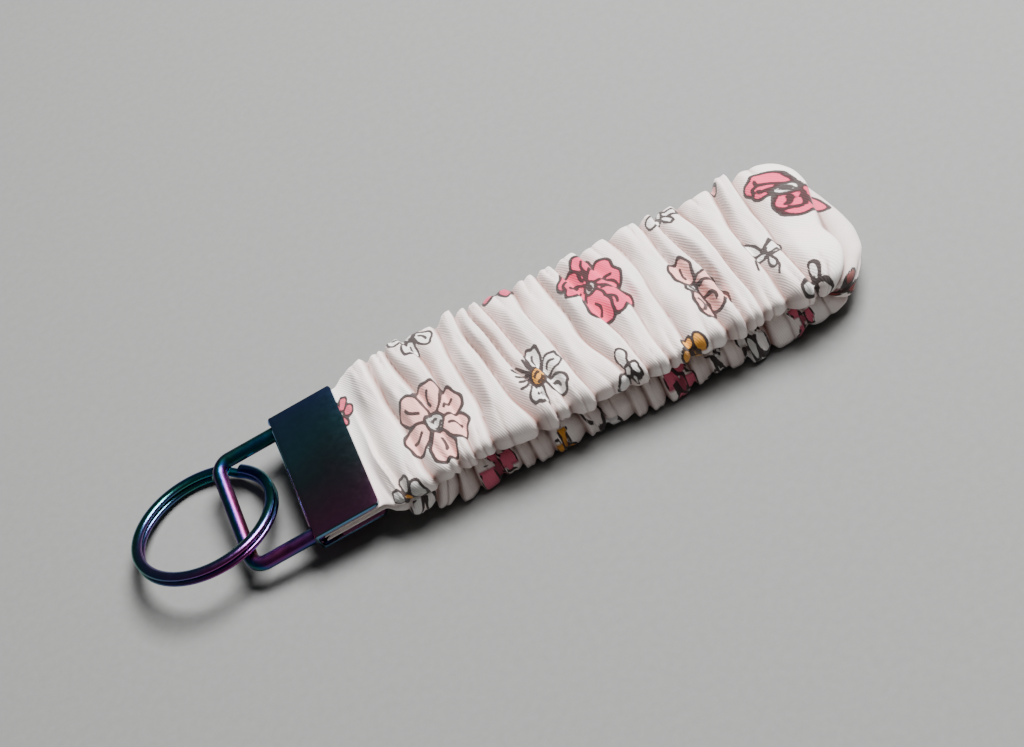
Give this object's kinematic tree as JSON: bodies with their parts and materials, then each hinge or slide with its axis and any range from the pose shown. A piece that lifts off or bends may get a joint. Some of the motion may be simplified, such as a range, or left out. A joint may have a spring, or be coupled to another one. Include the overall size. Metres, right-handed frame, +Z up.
{
  "type": "wristlet keychain",
  "caption": "Gathered fabric loop over an elastic band, gripped by a folded metal clamp that carries a wire bail and a split ring for keys.",
  "frame": {"origin": "middle of the flat underside that the loop rests on", "axes": "+X from the clamp to the far end of the loop, +Y across the loop, +Z up from the surface it lies on"},
  "size_m": [0.1317, 0.0292, 0.0115],
  "materials": {
    "clamp_steel": "rainbow-plated, mirror",
    "bail_wire": "rainbow-plated, mirror",
    "ring_steel": "rainbow-plated, mirror",
    "woven_elastic": "matt ribbed weave",
    "printed_cotton": "matt twill with a printed flower and bow pattern",
    "sewing_thread": "matt"
  },
  "bodies": {
    "strap": {"crimp_clamp": "clamp_steel", "elastic_band": "woven_elastic", "fabric_sleeve": "printed_cotton", "sleeve_seam": "sewing_thread", "end_stitching": "sewing_thread"},
    "bail": {"wire_bail": "bail_wire"},
    "ring": {"split_ring": "ring_steel"}
  },
  "joints": [
    {"name": "bail_swing", "type": "hinge", "parent": "strap", "child": "bail", "pos_m": [-0.05236, 0, 0.00626], "axis": [-0.0071, 0.9969, 0.0781], "range_deg": [-12, 12]},
    {"name": "ring_swing", "type": "hinge", "parent": "bail", "child": "ring", "pos_m": [-0.06435, -0.00004, 0.00567], "axis": [-0.0071, 0.9969, 0.0781], "range_deg": [-14, 92]}
  ]
}
